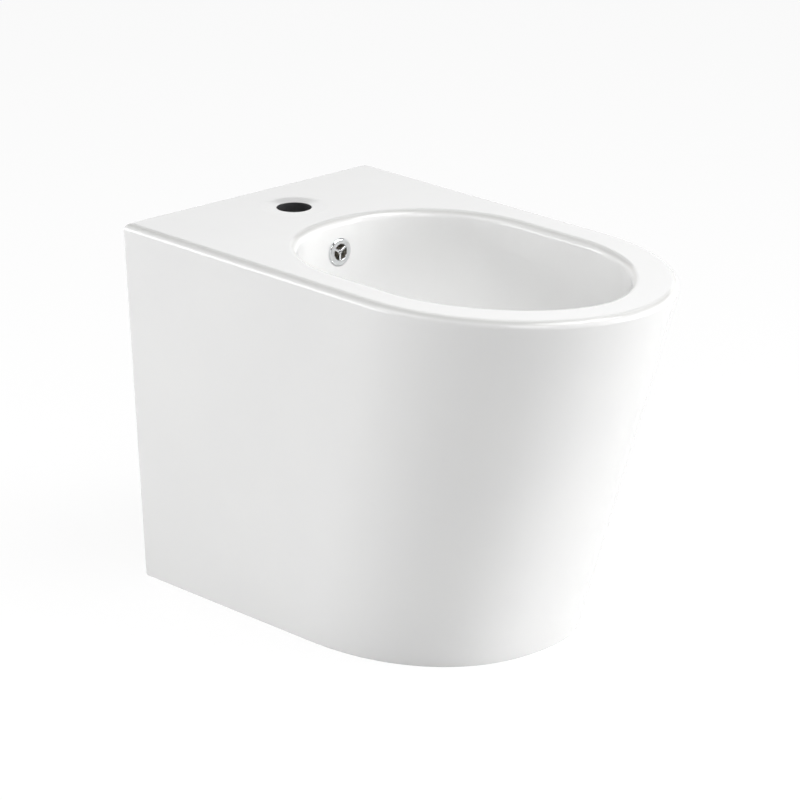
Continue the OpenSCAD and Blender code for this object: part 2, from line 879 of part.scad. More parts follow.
// Hexagon bolts that clamp the lugs to the brackets and end short of the plugs' ends
head_height = 5.3;
head_flats = 1.6 * bolt_diameter;
bolt_end_gap = 2;
module lug_bolts() {
    shank = washer_thick + bracket_steel + plug_depth - bolt_end_gap;
    color(galvanised)
        both_sides() {
            at_lug(washer_x - head_height) cylinder(d = head_flats * 2 / sqrt(3), h = head_height, $fn = 6);
            at_lug(washer_x - over) cylinder(d = bolt_diameter, h = over + shank);
        }
}

ceramic_body();
overflow_trim();
overflow_sleeve();
waste_body();
waste_gasket();
waste_seal();
slip_washer();
back_nut();
plug_cap();
plug_seal();
plunger();
cartridge_housing();
cartridge_cap();
cartridge_spring();
latch_pin();
bracket_left();
bracket_right();
lug_plugs();
lug_washers();
lug_bolts();
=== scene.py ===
"""Back-to-wall bidet, dressed for the picture.

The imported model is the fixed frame. The ceramic, the chrome fittings, the spring and the bolts are modelled
again as fine meshes in the same places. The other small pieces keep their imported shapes, with real finishes.
Lengths are in metres, written as millimetres times mm.
"""

import math

import bmesh
import bpy
from mathutils import Matrix, Vector


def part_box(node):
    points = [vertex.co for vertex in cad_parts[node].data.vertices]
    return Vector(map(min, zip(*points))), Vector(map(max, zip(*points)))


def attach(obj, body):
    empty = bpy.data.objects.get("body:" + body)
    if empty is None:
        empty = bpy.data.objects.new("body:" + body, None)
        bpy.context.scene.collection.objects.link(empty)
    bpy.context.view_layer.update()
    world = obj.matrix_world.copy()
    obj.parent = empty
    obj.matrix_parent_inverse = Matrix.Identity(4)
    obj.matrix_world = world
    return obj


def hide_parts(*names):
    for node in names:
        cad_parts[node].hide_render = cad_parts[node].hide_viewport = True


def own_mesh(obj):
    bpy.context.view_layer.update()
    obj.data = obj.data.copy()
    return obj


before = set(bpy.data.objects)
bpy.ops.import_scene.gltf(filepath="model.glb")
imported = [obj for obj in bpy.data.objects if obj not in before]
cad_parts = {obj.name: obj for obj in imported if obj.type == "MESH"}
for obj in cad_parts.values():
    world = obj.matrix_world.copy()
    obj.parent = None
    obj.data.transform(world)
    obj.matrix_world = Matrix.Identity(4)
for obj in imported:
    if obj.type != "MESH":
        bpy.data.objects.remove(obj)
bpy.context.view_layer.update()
mm = 0.001

# Camera: a long lens, well to the left of the front and a little above the rim. Its place, turn and length
# were fitted to the outline in the photograph. The lens and the film's width are in millimetres, as Blender
# takes them.
camera_azimuth = math.radians(-43.04)
camera_elevation = math.radians(18.61)
camera_distance = 4466.5 * mm
camera_target = Vector((-48.28 * mm, 0, 249.77 * mm))
camera_film = 36
camera_lens = 193.18
camera_sight = 60
camera_back = Vector((
    math.sin(camera_azimuth) * math.cos(camera_elevation),
    -math.cos(camera_azimuth) * math.cos(camera_elevation),
    math.sin(camera_elevation),
))
bpy.ops.object.camera_add(
    location=camera_target + camera_back * camera_distance,
    rotation=(-camera_back).to_track_quat("-Z", "Y").to_euler(),
)
camera = bpy.context.object
camera.data.sensor_width = camera_film
camera.data.lens = camera_lens
camera.data.clip_end = camera_sight
bpy.context.scene.camera = camera

# Ceramic body: vitreous china, slip cast hollow in plaster moulds, sprayed with white glaze and fired.
# The outline leans in from the rim to the foot. The inside and the standing face stay unglazed.
body_width = 350 * mm
body_length = 590 * mm
body_height = 404 * mm
# The straight side's length from the wall, and the fullness of the curve beyond it: 2 gives an ellipse
rim_straight = 379 * mm
rim_fullness = 1.93
foot_width = 307 * mm
foot_length = 453 * mm
foot_straight = 262 * mm
foot_fullness = 2.27
# Rounded edges, of which the top one is rounder than the solid's, as in the photograph, then the walls and
# the opening in the back
top_edge = 8 * mm
foot_edge = 3 * mm
wall_corner = 4 * mm
wall = 11 * mm
deck = 14 * mm
lip_width = 22 * mm
lip_height = 16 * mm
service_width = 230 * mm
service_height = 300 * mm
service_corner = 35 * mm
service_edge = 2 * mm
# Bowl: its section starts at the depth of the solid's rounded edge, and its own lip is rounder, as in the
# photograph
bowl_width = 270 * mm
front_rim = 44 * mm
rear_deck = 145 * mm
rear_curve_end = 290 * mm
front_curve_start = 375 * mm
bowl_front_fullness = 1.85
bowl_rear_fullness = 2.1
bowl_depth = 165 * mm
bowl_steepness = 2.6
bowl_edge = 6 * mm
bowl_lip = 8.5 * mm
bowl_middle = 12 * mm
# Tap hole with its dish, and the overflow's hole, seat and channel
tap_hole = 37 * mm
tap_edge = 0.8 * mm
tap_from_wall = 77 * mm
tap_dish_width = 19 * mm
tap_dish_depth = 1 * mm
tap_dish_softness = 0.15
overflow_hole = 24 * mm
overflow_drop = 35 * mm
trim_diameter = 30 * mm
ground_depth = 0.3 * mm
recess_gap = 1 * mm
channel_depth = 12 * mm
channel_width = 28 * mm
channel_wall = 7 * mm
channel_headroom = 4 * mm
channel_behind = 1 * mm
# Waste's hole and boss, and the lugs that the floor brackets are bolted to
waste_from_wall = 275 * mm
waste_hole = 46 * mm
flange_diameter = 65 * mm
recess_depth = 2.5 * mm
boss_height = 38 * mm
boss_wall = 17 * mm
chamber_height = 14 * mm
bracket_from_wall = 85 * mm
bolt_height = 46 * mm
bolt_diameter = 8 * mm
plug_depth = 24 * mm
plug_wall = 2.9 * mm
lug_width = 48 * mm
lug_low_z = 18 * mm
lug_high_z = 76 * mm
lug_behind_plug = 2 * mm
lug_length = plug_depth + lug_behind_plug
lug_edge = 2.5 * mm

# Places that follow from those sizes
wall_y = body_length / 2
front_y = wall_y - body_length
bowl_front_y = front_y + front_rim
bowl_rear_y = wall_y - rear_deck
waste_y = wall_y - waste_from_wall
tap_y = wall_y - tap_from_wall
seat_z = body_height - bowl_depth - recess_depth
boss_bottom_z = seat_z - boss_height
boss_radius = waste_hole / 2 + boss_wall
bracket_y = wall_y - bracket_from_wall
side_low_z = foot_edge
side_high_z = body_height - top_edge
bowl_top_z = body_height - bowl_edge
deck_under_z = body_height - deck

# Points round half of the outline, and rings over its curves
front_points = 90
side_points = 8
corner_points = 10
rear_points = 32
edge_rings = 9
side_rings = 26
inside_rows = 8
bowl_rings = 64
underside_rings = 22
section_points = 36
door_corner_points = 16
round_points = 96
plug_hole_points = 40
edge_segments = 4

# The ceramic's finishes, by the place of their materials on it. The third is the bore's painted shade.
glazed, unglazed, bore_shaded = 0, 1, 2


def across(angle, fullness):
    """Share of the half width, at an angle on one quarter of a curve whose fullness is 2 for an ellipse."""
    return max(math.cos(angle), 0) ** (2 / fullness)


def along(angle, fullness):
    """Share of the half length at that angle."""
    return max(math.sin(angle), 0) ** (2 / fullness)


def between(low, high, share):
    return low + (high - low) * share


def spread(first, last, count):
    """Evenly spaced values, with both ends."""
    return [between(first, last, i / count) for i in range(count + 1)]


def front_curve(half_width, front, start, fullness):
    """From the middle of the front, round to where the straight side starts."""
    return [
        (half_width * across(angle, fullness), start - (start - front) * along(angle, fullness))
        for angle in spread(math.pi / 2, 0, front_points)
    ]


def half_body(half_width, front, start, back, fullness, corner):
    """Half of the body's outline, from the middle of its front to the middle of its back."""
    side = [(half_width, y) for y in spread(start, back - corner, side_points)]
    turn = [
        (half_width - corner + corner * math.cos(angle), back - corner + corner * math.sin(angle))
        for angle in spread(0, math.pi / 2, corner_points)
    ]
    rear = [(x, back) for x in spread(half_width - corner, 0, rear_points)]
    return front_curve(half_width, front, start, fullness) + side[1:] + turn[1:] + rear[1:]


def half_bowl(grow):
    """Half of the bowl's outline with as many points, so that the two can be joined."""
    half_width = bowl_width / 2 + grow
    rear_start = wall_y - rear_curve_end
    front_start = wall_y - front_curve_start
    side = [(half_width, y) for y in spread(front_start, rear_start, side_points)]
    rear = [
        (
            half_width * across(angle, bowl_rear_fullness),
            rear_start + (bowl_rear_y + grow - rear_start) * along(angle, bowl_rear_fullness),
        )
        for angle in spread(0, math.pi / 2, corner_points + rear_points)
    ]
    front = front_curve(half_width, bowl_front_y - grow, front_start, bowl_front_fullness)
    return front + side[1:] + rear[1:]


def whole(half, z):
    """A whole closed ring at a height from its right half."""
    left = [(-x, y) for x, y in half[-2:0:-1]]
    return [Vector((x, y, z)) for x, y in half + left]


def body_ring(z, inset):
    """The body's outline at a height, drawn in by an inset."""
    share = min(max((z - side_low_z) / (side_high_z - side_low_z), 0), 1)
    return whole(
        half_body(
            between(foot_width, body_width, share) / 2 - inset,
            wall_y - between(foot_length, body_length, share) + inset,
            wall_y - between(foot_straight, rim_straight, share),
            wall_y - inset,
            between(foot_fullness, rim_fullness, share),
            wall_corner,
        ),
        z,
    )


def bowl_z(angle, grow):
    """Height of the bowl's section at an angle from 0 at the rim to a right angle at its middle."""
    return bowl_top_z - (bowl_depth - bowl_edge + grow) * along(angle, bowl_steepness)


def bowl_reach(angle, full):
    return bowl_middle + (full - bowl_middle) * across(angle, bowl_steepness)


def bowl_angle(z, grow):
    return math.asin(((bowl_top_z - z) / (bowl_depth - bowl_edge + grow)) ** (bowl_steepness / 2))


def bowl_ring(angle, grow):
    """The bowl's outline at that angle, drawn in towards the waste; grow gives its underside."""
    waste = Vector((0, waste_y, bowl_z(angle, grow)))
    ring = []
    for point in whole(half_bowl(grow - bowl_edge / 2), waste.z):
        away = point - waste
        ring.append(waste + away.normalized() * bowl_reach(angle, away.length))
    return ring


def start(name):
    """Take the object that an operator has just made, and name it."""
    piece = bpy.context.object
    piece.name = name
    piece.data.name = name
    return piece


def loft(name, rings):
    """A circle of as many points as a ring has, extruded from ring to ring and closed at both ends."""
    count = len(rings[0])
    bpy.ops.object.select_all(action="DESELECT")
    bpy.ops.mesh.primitive_circle_add(vertices=count, radius=1)
    piece = start(name)
    bpy.ops.object.mode_set(mode="EDIT")
    bpy.ops.mesh.select_all(action="SELECT")
    for row, ring in enumerate(rings):
        if row > 0:
            bpy.ops.mesh.extrude_edges_move()
        shape = bmesh.from_edit_mesh(piece.data)
        shape.verts.ensure_lookup_table()
        for place, point in enumerate(ring):
            shape.verts[row * count + place].co = point
        bmesh.update_edit_mesh(piece.data)
    bpy.ops.mesh.select_all(action="SELECT")
    bpy.ops.mesh.fill_holes(sides=0)
    bpy.ops.mesh.normals_make_consistent(inside=False)
    bpy.ops.object.mode_set(mode="OBJECT")
    return piece


def rod(name, profile, place, points=round_points):
    """A solid round piece through circles of a given radius and height, put in its place."""
    turn = spread(0, 2 * math.pi, points)[:-1]
    return loft(name, [
        [place @ Vector((radius * math.cos(angle), radius * math.sin(angle), height)) for angle in turn]
        for radius, height in profile
    ])


def block(name, low, high, edge):
    """A cube set between two corners, with all of its edges rounded."""
    low, high = Vector(low), Vector(high)
    bpy.ops.object.select_all(action="DESELECT")
    bpy.ops.mesh.primitive_cube_add(size=1, location=(low + high) / 2, scale=high - low)
    piece = start(name)
    bpy.ops.object.transform_apply(location=True, rotation=True, scale=True)
    bpy.ops.object.mode_set(mode="EDIT")
    bpy.ops.mesh.select_all(action="SELECT")
    bpy.ops.mesh.bevel(offset=edge, segments=edge_segments, affect="EDGES")
    bpy.ops.object.mode_set(mode="OBJECT")
    return piece


def finish_with(piece, kind, **settings):
    """Add a modifier to a piece and apply it."""
    bpy.ops.object.select_all(action="DESELECT")
    piece.select_set(True)
    bpy.context.view_layer.objects.active = piece
    modifier = piece.modifiers.new(kind.lower(), kind)
    for setting, value in settings.items():
        setattr(modifier, setting, value)
    bpy.ops.object.modifier_apply(modifier=modifier.name)


def combine(piece, tool, operation, finish=glazed):
    """Join or cut a piece with another, whose faces get the finish of that material slot."""
    for face in tool.data.polygons:
        face.material_index = finish
    finish_with(piece, "BOOLEAN", object=tool, operation=operation, solver="EXACT")
    bpy.data.objects.remove(tool)


def smooth(piece, degrees=32):
    """Smooth shading up to an angle, with flat faces kept flat."""
    bpy.ops.object.select_all(action="DESELECT")
    piece.select_set(True)
    bpy.context.view_layer.objects.active = piece
    bpy.ops.object.shade_smooth_by_angle(angle=math.radians(degrees))
    finish_with(piece, "WEIGHTED_NORMAL", keep_sharp=True)


def hex_colour(code):
    """An sRGB hex colour as linear values."""
    parts = [int(code[i:i + 2], 16) / 255 for i in (1, 3, 5)]
    return [part / 12.92 if part <= 0.04045 else ((part + 0.055) / 1.055) ** 2.4 for part in parts] + [1]


def new_material(name):
    """An empty material with its output node."""
    material = bpy.data.materials.new(name)
    material.use_nodes = True
    material.node_tree.nodes.clear()
    return material, add(material, "ShaderNodeOutputMaterial")


def add(material, kind, links=None, **settings):
    """A node with its settings, its sockets' values, and links into its sockets from other nodes' outputs.

    A Mix node takes its share at socket 0, and its two colours at 6 and 7 or its two numbers at 2 and 3.
    """
    node = material.node_tree.nodes.new(kind)
    for setting, value in settings.items():
        setattr(node, setting, value)
    for socket, value in (links or {}).items():
        if isinstance(value, bpy.types.NodeSocket):
            material.node_tree.links.new(value, node.inputs[socket])
        else:
            node.inputs[socket].default_value = value
    return node


# The casting's section carried round the outline: the bowl's underside, down the inside of the wall,
# round the foot, up the outside, over the rim and down the bowl
under_top = bowl_angle(deck_under_z, wall)
inside_rings = [bowl_ring(angle, wall) for angle in spread(math.pi / 2, under_top, underside_rings)]
inside_rings += [body_ring(z, wall) for z in spread(deck_under_z, lip_height + lip_width - wall, inside_rows)]
inside_rings += [body_ring(lip_height, lip_width), body_ring(0, lip_width)]
quarter = spread(0, math.pi / 2, edge_rings)
outside_rings = [
    body_ring(foot_edge * (1 - math.cos(angle)), foot_edge * (1 - math.sin(angle))) for angle in quarter
]
outside_rings += [body_ring(z, 0) for z in spread(side_low_z, side_high_z, side_rings)[1:]]
outside_rings += [
    body_ring(side_high_z + top_edge * math.sin(angle), top_edge * (1 - math.cos(angle)))
    for angle in quarter[1:]
]
outside_rings += [
    whole(
        half_bowl(bowl_lip * (1 - math.sin(angle)) - bowl_edge / 2),
        body_height - bowl_lip * (1 - math.cos(angle)),
    )
    for angle in quarter
]
lip_end = bowl_angle(body_height - bowl_lip, 0)
outside_rings += [bowl_ring(angle, 0) for angle in spread(lip_end, math.pi / 2, bowl_rings)[1:]]
ceramic = loft("ceramic_casting", inside_rings + outside_rings)

# Glaze: opaque white vitreous glaze, fired glossy. It lies a little wavy, and a breath greyer where it
# pooled. The waves are about 40 mm apart and the finer orange peel about 9 mm.
glaze_pool = 1000 / 9 * mm
glaze_wave = 40 * mm
glaze_wave_height = 0.12 * mm
glaze_peel = 9 * mm
glaze_peel_height = 0.008 * mm
glaze, output = new_material("vitreous_white_glaze")
place = add(glaze, "ShaderNodeTexCoord").outputs["Object"]
pooling = add(glaze, "ShaderNodeTexNoise", {
    "Vector": place, "Scale": 1 / glaze_pool, "Detail": 2.0, "Roughness": 0.4,
})
full_tint = add(
    glaze, "ShaderNodeMix", {0: pooling.outputs["Fac"], 6: hex_colour("#F4F4F4"), 7: hex_colour("#F8F8F7")},
    data_type="RGBA",
)
# Painted shade: a faint grey line is painted over the rim's rounded edges, where the surface turns from the
# deck to the walls, in place of the shade and dark reflection there. The line grows, is full and fades at
# these tilts of the surface.
edge_shade_starts = math.radians(8)
edge_shade_full = math.radians(30)
edge_shade_fades = math.radians(40)
edge_shade_ends = math.radians(60)
upward = add(glaze, "ShaderNodeSeparateXYZ", {
    "Vector": add(glaze, "ShaderNodeNewGeometry").outputs["Normal"],
}).outputs["Z"]
past_flat = add(glaze, "ShaderNodeMapRange", {
    "Value": upward, "From Min": math.cos(edge_shade_starts), "From Max": math.cos(edge_shade_full),
})
before_wall = add(glaze, "ShaderNodeMapRange", {
    "Value": upward, "From Min": math.cos(edge_shade_ends), "From Max": math.cos(edge_shade_fades),
})
at_rim = add(glaze, "ShaderNodeMath", {
    0: add(glaze, "ShaderNodeSeparateXYZ", {"Vector": place}).outputs["Z"], 1: body_height - 2 * bowl_lip,
}, operation="GREATER_THAN")
on_edge = add(
    glaze, "ShaderNodeMath", {0: past_flat.outputs[0], 1: before_wall.outputs[0]}, operation="MULTIPLY",
)
painted_edge_shade = add(glaze, "ShaderNodeMath", {0: on_edge.outputs[0], 1: at_rim.outputs[0]}, operation="MULTIPLY")
# Mix in the painted shade's grey on the rim's rounded edges
tint = add(
    glaze, "ShaderNodeMix", {0: painted_edge_shade.outputs[0], 6: full_tint.outputs[2], 7: hex_colour("#DFDFDD")},
    data_type="RGBA",
)
waves = add(glaze, "ShaderNodeTexNoise", {"Vector": place, "Scale": 1 / glaze_wave, "Detail": 1.0})
peel = add(glaze, "ShaderNodeTexNoise", {"Vector": place, "Scale": 1 / glaze_peel, "Detail": 2.0})
wave_bump = add(glaze, "ShaderNodeBump", {
    "Height": waves.outputs["Fac"], "Strength": 1.0, "Distance": glaze_wave_height,
})
peel_bump = add(glaze, "ShaderNodeBump", {
    "Height": peel.outputs["Fac"], "Strength": 1.0, "Distance": glaze_peel_height,
    "Normal": wave_bump.outputs["Normal"],
})
haze = add(glaze, "ShaderNodeMapRange", {
    "Value": pooling.outputs["Fac"], "From Min": 0.3, "From Max": 0.7, "To Min": 0.05, "To Max": 0.085,
})
glaze_shader = add(glaze, "ShaderNodeBsdfPrincipled", {
    "Base Color": tint.outputs[2], "Roughness": haze.outputs[0], "IOR": 1.53,
    "Normal": peel_bump.outputs["Normal"],
})
glaze.node_tree.links.new(glaze_shader.outputs["BSDF"], output.inputs["Surface"])

# Bisque: the fired clay where no glaze was sprayed, cream and matt, with thin overspray in patches. The
# grain is 1.5 mm, coarser than the real clay's so that it shows.
overspray_patch = 60 * mm
clay_grain = 1.5 * mm
clay_grain_height = 0.1 * mm
bisque, output = new_material("fired_clay_bisque")
place = add(bisque, "ShaderNodeTexCoord").outputs["Object"]
overspray = add(bisque, "ShaderNodeTexNoise", {"Vector": place, "Scale": 1 / overspray_patch, "Detail": 5.0})
cover = add(bisque, "ShaderNodeMapRange", {
    "Value": overspray.outputs["Fac"], "From Min": 0.45, "From Max": 0.62,
})
clay_tint = add(
    bisque, "ShaderNodeMix", {0: cover.outputs[0], 6: hex_colour("#DDD5C6"), 7: hex_colour("#EBE9E2")},
    data_type="RGBA",
)
grain = add(bisque, "ShaderNodeTexNoise", {"Vector": place, "Scale": 1 / clay_grain, "Detail": 3.0})
grain_bump = add(bisque, "ShaderNodeBump", {
    "Height": grain.outputs["Fac"], "Strength": 0.6, "Distance": clay_grain_height,
})
dryness = add(bisque, "ShaderNodeMapRange", {"Value": cover.outputs[0], "To Min": 0.9, "To Max": 0.45})
clay_shader = add(bisque, "ShaderNodeBsdfPrincipled", {
    "Base Color": clay_tint.outputs[2], "Roughness": dryness.outputs[0], "IOR": 1.5,
    "Normal": grain_bump.outputs["Normal"],
})
bisque.node_tree.links.new(clay_shader.outputs["BSDF"], output.inputs["Surface"])

# Painted shade: the tap hole's bore looks nearly black in the photo because it lies in deep shade, so its wall
# is painted a dark matt grey in place of that shade. The grey is mottled and bumped in patches about 3 mm
# wide.
bore_mottle_size = 3 * mm
bore_mottle_height = 0.1 * mm
bore_shade, output = new_material("painted_bore_shade")
place = add(bore_shade, "ShaderNodeTexCoord").outputs["Object"]
bore_mottle = add(bore_shade, "ShaderNodeTexNoise", {"Vector": place, "Scale": 1 / bore_mottle_size, "Detail": 3.0})
bore_shade_tint = add(
    bore_shade, "ShaderNodeMix", {0: bore_mottle.outputs["Fac"], 6: hex_colour("#26272A"), 7: hex_colour("#3A3B3D")},
    data_type="RGBA",
)
bore_shade_bump = add(bore_shade, "ShaderNodeBump", {
    "Height": bore_mottle.outputs["Fac"], "Strength": 0.6, "Distance": bore_mottle_height,
})
bore_shade_shader = add(bore_shade, "ShaderNodeBsdfPrincipled", {
    "Base Color": bore_shade_tint.outputs[2], "Roughness": 0.7, "IOR": 1.5,
    "Normal": bore_shade_bump.outputs["Normal"],
})
bore_shade.node_tree.links.new(bore_shade_shader.outputs["BSDF"], output.inputs["Surface"])
for finish in (glaze, bisque, bore_shade):
    ceramic.data.materials.append(finish)
ring_points = len(outside_rings[0])
for face in ceramic.data.polygons:
    lowest_row = min(face.vertices) // ring_points
    face.material_index = glazed if lowest_row >= len(inside_rings) else unglazed


def rear_section(grow, top_z):
    """The rear half of the bowl's section on the middle plane, grown by its wall, down from a height."""
    rear_full = bowl_rear_y - bowl_edge / 2 - waste_y + grow
    return [
        (waste_y + bowl_reach(angle, rear_full), bowl_z(angle, grow))
        for angle in spread(bowl_angle(top_z, grow), math.pi / 2, section_points)
    ]


def bowl_band(name, near, far, top_z, width):
    """A band that follows the bowl's back and underside between two depths below its surface."""
    section = rear_section(near, top_z) + rear_section(far, top_z)[::-1]
    return loft(name, [[Vector((x, y, z)) for y, z in section] for x in (-width / 2, width / 2)])


# Cast on the underside: the boss round the waste, the overflow's channel, and a lug inside each side
overflow_z = body_height - overflow_drop
rear_depth = bowl_rear_y - bowl_edge / 2 - waste_y
trim_seat_y = waste_y + bowl_reach(bowl_angle(overflow_z, 0), rear_depth) + ground_depth
channel_top_z = overflow_z + overflow_hole / 2 + channel_headroom
channel_near = wall + channel_behind
channel_far = channel_near + channel_depth
inside_half_width = between(foot_width, body_width, bolt_height / body_height) / 2 - wall
lug_face_x = inside_half_width + wall / 2 - lug_length
at_waste = Matrix.Translation((0, waste_y, 0))
at_tap = Matrix.Translation((0, tap_y, 0))
at_overflow = Matrix.Translation((0, 0, overflow_z)) @ Matrix.Rotation(-math.pi / 2, 4, "X")
boss = rod("boss", [(boss_radius, boss_bottom_z), (boss_radius, seat_z - wall / 2)], at_waste)
combine(ceramic, boss, "UNION", unglazed)
band = bowl_band(
    "channel_wall", wall / 2, channel_far + channel_wall, channel_top_z + channel_wall,
    channel_width + 2 * channel_wall,
)
combine(ceramic, band, "UNION", unglazed)
for side in (-1, 1):
    ends = sorted((side * lug_face_x, side * (lug_face_x + lug_length)))
    lug = block(
        "lug", (ends[0], bracket_y - lug_width / 2, lug_low_z),
        (ends[1], bracket_y + lug_width / 2, lug_high_z), lug_edge,
    )
    combine(ceramic, lug, "UNION", unglazed)

# Cut: the waste's recess, hole and chamber, and the overflow's channel, hole and seat. Each cutter runs past
# what it cuts.
overshoot = 1 * mm
flange_seat_radius = flange_diameter / 2 + recess_gap
chamber_radius = waste_hole / 2 + boss_wall / 3
chamber_top_z = bowl_top_z - (bowl_depth - bowl_edge + wall)
recess = rod("recess", [
    (flange_seat_radius, seat_z), (flange_seat_radius, seat_z + 6 * overshoot),
], at_waste)
combine(ceramic, recess, "DIFFERENCE")
hole = rod("hole", [
    (waste_hole / 2, boss_bottom_z - overshoot), (waste_hole / 2, seat_z + overshoot),
], at_waste)
combine(ceramic, hole, "DIFFERENCE", unglazed)
chamber = rod("chamber", [
    (chamber_radius, chamber_top_z - chamber_height), (chamber_radius, chamber_top_z),
], at_waste)
combine(ceramic, chamber, "DIFFERENCE", unglazed)
channel = bowl_band("channel", channel_near, channel_far, channel_top_z, channel_width)
combine(ceramic, channel, "DIFFERENCE", unglazed)
hole = rod("hole", [
    (overflow_hole / 2, trim_seat_y - overshoot),
    (overflow_hole / 2, trim_seat_y + channel_near + 2 * overshoot),
], at_overflow)
combine(ceramic, hole, "DIFFERENCE", unglazed)
ground_radius = trim_diameter / 2 + recess_gap
ground = rod("ground", [
    (ground_radius, trim_seat_y - 8 * overshoot), (ground_radius, trim_seat_y),
], at_overflow)
combine(ceramic, ground, "DIFFERENCE")

# Cut: the tap hole's bore, painted dark as painted shade, with its rounded edge, and the shallow glazed dish
# that it lies in
tap_radius = tap_hole / 2
sill_radius = tap_radius + tap_edge
over_deck = 0.01 * mm
dish_rings = 20
tap_sill_z = body_height - tap_dish_depth
bore = rod("bore", [
    (tap_radius, body_height - 2 * deck),
    *[
        (tap_radius + tap_edge * (1 - math.cos(angle)), tap_sill_z - tap_edge * (1 - math.sin(angle)))
        for angle in quarter
    ],
    (sill_radius, body_height + 2 * overshoot),
], at_tap)
# The bore's wall takes the painted shade
combine(ceramic, bore, "DIFFERENCE", bore_shaded)


def dish_share(share):
    """Share of the dish's depth, from one at the hole to none at its soft outer edge."""
    level = math.hypot(1 - share, tap_dish_softness) - tap_dish_softness
    return level / (math.hypot(1, tap_dish_softness) - tap_dish_softness)


dish = rod("dish", [
    (tap_radius - tap_edge, tap_sill_z - tap_edge / 2),
    *[
        (sill_radius + tap_dish_width * share, body_height - tap_dish_depth * dish_share(share) + over_deck)
        for share in spread(0, 1, dish_rings)
    ],
    (sill_radius + tap_dish_width, body_height + 2 * overshoot),
], at_tap)
combine(ceramic, dish, "DIFFERENCE")


def doorway(grow):
    """Outline of the service opening in X and Z: a door with rounded upper corners."""
    half, corner = service_width / 2 - service_corner, service_corner + grow
    top = service_height - service_corner
    right = [
        (half + corner * math.sin(angle), top + corner * math.cos(angle))
        for angle in spread(0, math.pi / 2, door_corner_points)
    ]
    right.append((half + corner, -5 * overshoot))
    return right + [(-x, z) for x, z in reversed(right)]


# Cut: the opening in the back for pipes and hands, with a softened outer edge
door_rings = [(wall_y - lip_width - 3 * overshoot, 0)]
door_rings += [
    (wall_y - service_edge * (1 - math.sin(angle)) + over_deck, service_edge * (1 - math.cos(angle)))
    for angle in quarter
]
door_rings.append((wall_y + overshoot, service_edge))
door = loft("doorway", [[Vector((x, y, z)) for x, z in doorway(grow)] for y, grow in door_rings])
combine(ceramic, door, "DIFFERENCE", unglazed)

# Cut: the holes in the lugs, which the plugs are pushed into
plug_radius = bolt_diameter / 2 + plug_wall
at_lug = {
    side: Matrix.Translation((0, bracket_y, bolt_height)) @ Matrix.Rotation(side * math.pi / 2, 4, "Y")
    for side in (-1, 1)
}
for side in (-1, 1):
    hole = rod("hole", [
        (plug_radius, lug_face_x - overshoot), (plug_radius, lug_face_x + plug_depth),
    ], at_lug[side], plug_hole_points)
    combine(ceramic, hole, "DIFFERENCE", unglazed)
smooth(ceramic)
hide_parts("ceramic_body")
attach(ceramic, "pan")

# Overflow trim: chrome-plated brass ring with three spokes, whose spigot presses into a rubber sleeve.
# The face is turned and polished; the spokes are cast in one with it.
trim_face = 3 * mm
spoke_width = 2.6 * mm
spigot_length = 9 * mm
sleeve_wall = 1.4 * mm
spigot_wall = 1.6 * mm
spoke_set_back = 0.7 * mm
spoke_depth = 2 * mm
spoke_edge = 0.5 * mm
boss_flat = 0.4 * mm
boss_points = 48
fit_gap = 0.1 * mm
small_edge = 0.6 * mm
same_place = 0.001 * mm
spigot_radius = overflow_hole / 2 - sleeve_wall - fit_gap
trim_open_radius = spigot_radius - spigot_wall


def arc(middle_radius, middle_height, radius, first, last, count=10):
    """Points along an arc of a turned piece's section, between two angles in degrees."""
    angles = [math.radians(angle) for angle in spread(first, last, count)]
    return [
        (middle_radius + radius * math.cos(angle), middle_height + radius * math.sin(angle))
        for angle in angles
    ]


def turned(name, section, place, points=round_points):
    """A ring-shaped piece: a circle of as many points as its section has, set to it and spun round."""
    bpy.ops.object.select_all(action="DESELECT")
    bpy.ops.mesh.primitive_circle_add(vertices=len(section), radius=1)
    piece = start(name)
    bpy.ops.object.mode_set(mode="EDIT")
    bpy.ops.mesh.select_all(action="SELECT")
    shape = bmesh.from_edit_mesh(piece.data)
    shape.verts.ensure_lookup_table()
    for vertex, (radius, height) in zip(shape.verts, section):
        vertex.co = (radius, 0, height)
    bmesh.update_edit_mesh(piece.data)
    bpy.ops.mesh.spin(steps=points, angle=2 * math.pi, center=(0, 0, 0), axis=(0, 0, 1))
    bpy.ops.mesh.select_all(action="SELECT")
    bpy.ops.mesh.remove_doubles(threshold=same_place)
    bpy.ops.mesh.normals_make_consistent(inside=False)
    bpy.ops.object.mode_set(mode="OBJECT")
    piece.data.transform(place)
    return piece


at_trim = at_overflow @ Matrix.Translation((0, 0, trim_seat_y - trim_face))
trim_round = 0.6 * trim_face
trim = turned("overflow_trim_ring", [
    (spigot_radius, trim_face),
    (spigot_radius, trim_face + spigot_length),
    (trim_open_radius, trim_face + spigot_length),
    *arc(trim_open_radius + small_edge, small_edge, small_edge, 180, 270, 6),
    *arc(trim_diameter / 2 - trim_round, trim_round, trim_round, -90, 0),
    (trim_diameter / 2, trim_face),
], at_trim)
boss = rod("trim_boss", [
    (boss_flat, spoke_set_back),
    *arc(spoke_width - small_edge, spoke_set_back + small_edge, small_edge, -90, 0, 6),
    (spoke_width, spoke_set_back + spoke_depth),
], at_trim, boss_points)
combine(trim, boss, "UNION")
for turn in (90, 210, 330):
    spoke = block(
        "spoke", (0, -spoke_width / 2, spoke_set_back),
        (trim_open_radius + spigot_wall / 2, spoke_width / 2, spoke_set_back + spoke_depth), spoke_edge,
    )
    spoke.data.transform(at_trim @ Matrix.Rotation(math.radians(turn), 4, "Z"))
    combine(trim, spoke, "UNION")

